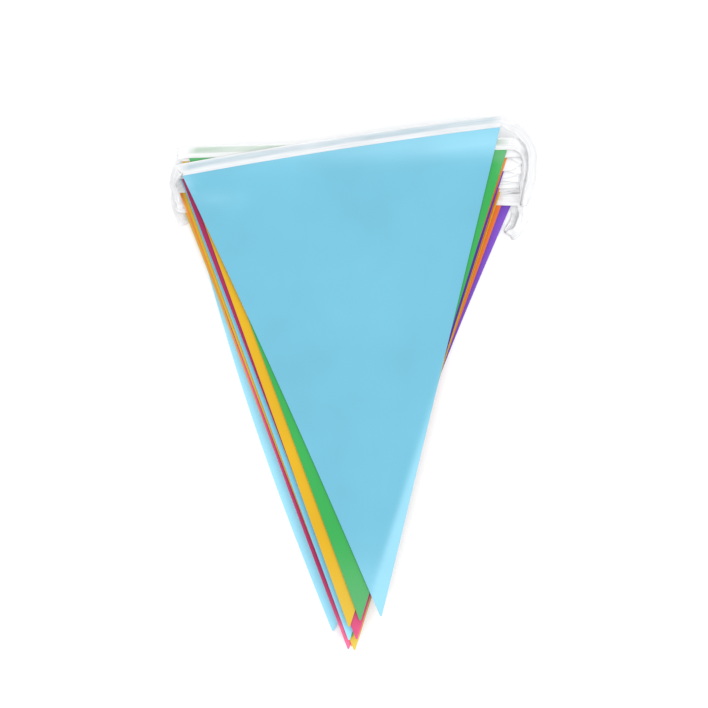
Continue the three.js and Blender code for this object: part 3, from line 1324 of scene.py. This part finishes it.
    def tint(self, stations: Stations, strip: Array, films: dict[Film, PennantFilm]) -> Array:
        """Finds the colour of the milky film.

        White is blended with the flag's colour by the shares of the colouring, and not at all past
        the flag's top edge or beside it; the blend is cloudy. The highest held tape gets painted
        shade, since a stack drawn thicker than film lies shades the tape lower down too much, and
        slack tape gets soft streaks of painted crinkle shade along it.

        Args:
            stations: The tape's chain of places.
            strip: Length along the tape, place across it and slack of each point.
            films: The flags' films.

        Returns:
            A linear colour with alpha for each point.
        """
        look = self.colouring
        place = self.profile()[:, 0] + self.width / 2
        past_hem = smoothstep(-0.25, 0.25, place - self.hem)
        share = look.hem + (look.face - look.hem) * past_hem
        share = share * (1.0 - smoothstep(-0.3, 0.3, place - WELD))
        white = (1.0, 1.0, 1.0, 1.0)
        colours = np.array([hex_linear(films[row.film].deep) for row in FLAG_ROWS] + [white])
        base = colours[stations.flag][:, None, :]
        held = stations.flag >= 0
        corner = held & ~(np.roll(held, 1) & np.roll(held, -1))
        along, across, slack = strip[..., 0], strip[..., 1], np.minimum(strip[..., 2], 1.0)
        weight = np.where(corner, look.corner, 1.0)[:, None] * share[None, :]
        weight = (weight * (1.0 + TAPE_CLOUDS.at(along, across)))[..., None]
        # Painted shade: held tape is darker towards the top of the pack
        level = np.clip(stations.points[:, 2:] / self.layout.pitch / LAST, 0.0, 1.0)
        # Soft streaks of painted crinkle shade on slack tape
        streaks = 0.5 + PAINTED_CRINKLE_SHADE.at(along, across)
        tone = 1.0 - look.shade * level**look.shade_power * (1.0 - look.slack_shade * slack)
        tone = tone * (1.0 - look.crinkle_shade * slack * streaks)
        return tone[..., None] * (1.0 + (base - 1.0) * weight)

    def make(
        self, shift: Array, material: Material, films: dict[Film, PennantFilm]
    ) -> bpy.types.Object:
        """Builds the tape, dresses it and puts it in its place in the frame.

        Args:
            shift: Moves the layout into the frame, in millimetres.
            material: The tape's material.
            films: The flags' films, whose colours show through it.

        Returns:
            The tape's object.
        """
        stations = self.path()
        grid, strip = self.surface(stations)
        sheet = FilmSheet(
            "folded_header_tape",
            grid,
            self.thickness,
            vectors={"strip": strip},
            colours={"tint": self.tint(stations, strip, films)},
        )
        thing = sheet.build(shift)
        thing.data.materials.append(material)
        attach(thing, "root")
        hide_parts("header_tape")
        return thing


@dataclass
class Studio:
    """A white paper floor, soft light and a long lens straight above the pack.

    Attributes:
        pixel: Millimetres that one pixel of the picture spans at the pack.
        picture: Width of the picture in pixels.
        centre: Layout place at the middle of the picture.
        top: Height of the topmost flag, in millimetres.
        distance: Height of the camera over the topmost flag, in metres.
        floor_reach: Half the width of the floor, in metres.
        sky: Strength of the even light from all round.
        sun: Strength of the lamp.
        sun_spread: Width of the lamp as seen from the pack, in degrees.
        sun_turn: The lamp's tilts about the picture's width and height, in degrees.
    """

    pixel: float = 0.622
    picture: int = 708
    centre: tuple[float, float] = (1.87, 16.17)
    top: float = 26.0
    distance: float = 6.0
    floor_reach: float = 6.0
    sky: float = 0.74
    sun: float = 2.45
    sun_spread: float = 70.0
    sun_turn: tuple[float, float] = (-2.0, 5.0)

    def floor(self) -> None:
        """A square of paper under the pack."""
        reach = self.floor_reach
        corners = [(-reach, -reach, 0), (reach, -reach, 0), (reach, reach, 0), (-reach, reach, 0)]
        mesh = bpy.data.meshes.new("paper_floor")
        mesh.from_pydata(corners, [], [(0, 1, 2, 3)])
        mesh.materials.append(StudioPaper().build())
        add_object("paper_floor", mesh)

    def lights(self) -> None:
        """Even light from all round, and one broad soft lamp a little to the right."""
        world = bpy.data.worlds.new("studio")
        bpy.context.scene.world = world
        world.use_nodes = True
        sky = world.node_tree.nodes["Background"]
        sky.inputs["Color"].default_value = (1.0, 1.0, 1.0, 1.0)
        sky.inputs["Strength"].default_value = self.sky
        lamp = bpy.data.lights.new("soft_key", "SUN")
        lamp.energy = self.sun
        lamp.angle = math.radians(self.sun_spread)
        turn = [math.radians(angle) for angle in self.sun_turn]
        add_object("soft_key", lamp).rotation_euler = (*turn, 0.0)

    def camera(self, shift: Array) -> None:
        """Puts a camera straight above, whose picture spans the photographed field.

        Args:
            shift: Moves the layout into the frame, in millimetres.
        """
        field_width = self.pixel * self.picture * MM
        lens = bpy.data.cameras.new("long_lens")
        lens.sensor_width = 36.0
        lens.lens = lens.sensor_width * self.distance / field_width
        lens.clip_end = 50.0
        thing = add_object("long_lens", lens)
        x, y = (np.array(self.centre) + shift[:2]) * MM
        thing.location = (float(x), float(y), self.distance + self.top * MM)
        bpy.context.scene.camera = thing

    def make(self, shift: Array) -> None:
        """Sets up the floor, the lights, the camera and plain colours.

        Args:
            shift: Moves the layout into the frame, in millimetres.
        """
        self.floor()
        self.lights()
        self.camera(shift)
        bpy.context.scene.view_settings.view_transform = "Standard"


FILMS = {
    film.film: film
    for film in (
        PennantFilm(Film.BLUE, "61a4bb", "86bed2"),
        PennantFilm(Film.GREEN, "289644", "659d74"),
        PennantFilm(Film.YELLOW, "c49900", "c3ac44"),
        PennantFilm(Film.PINK, "920e4a", "dd5e87"),
        PennantFilm(Film.ORANGE, "c4580a", "e29a44"),
        PennantFilm(Film.PURPLE, "4d2290", "6d40aa"),
    )
}


def find_shift(layout: PackLayout) -> Array:
    """Finds how the layout lies in the frame from the box of the lowest flag.

    Args:
        layout: How the pack lies.

    Returns:
        The move from the layout into the frame, in millimetres.
    """
    low, high = (np.array(corner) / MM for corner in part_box("flag_20"))
    row = FLAG_ROWS[LAST]
    corners = np.concatenate([layout.top_edge(row, np.array([0.0, 1.0])), [row.tip]])
    middle = (corners.min(axis=0) + corners.max(axis=0)) / 2
    return np.array([*((low + high) / 2)[:2] - middle, 0.0])


def main() -> None:
    """Builds the pack piece by piece."""
    logging.basicConfig(level=logging.INFO, format="%(name)s %(message)s")
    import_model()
    layout = PackLayout()
    shift = find_shift(layout)
    LOG.info("layout moved by %.2f, %.2f mm", shift[0], shift[1])
    finishes = {film: finish.build() for film, finish in FILMS.items()}
    for number in range(LAST + 1):
        Pennant(number, layout).make(shift, finishes)
    HeaderTape(layout).make(shift, TapeFilm().build(), FILMS)
    Studio().make(shift)


if __name__ == "__main__":
    main()
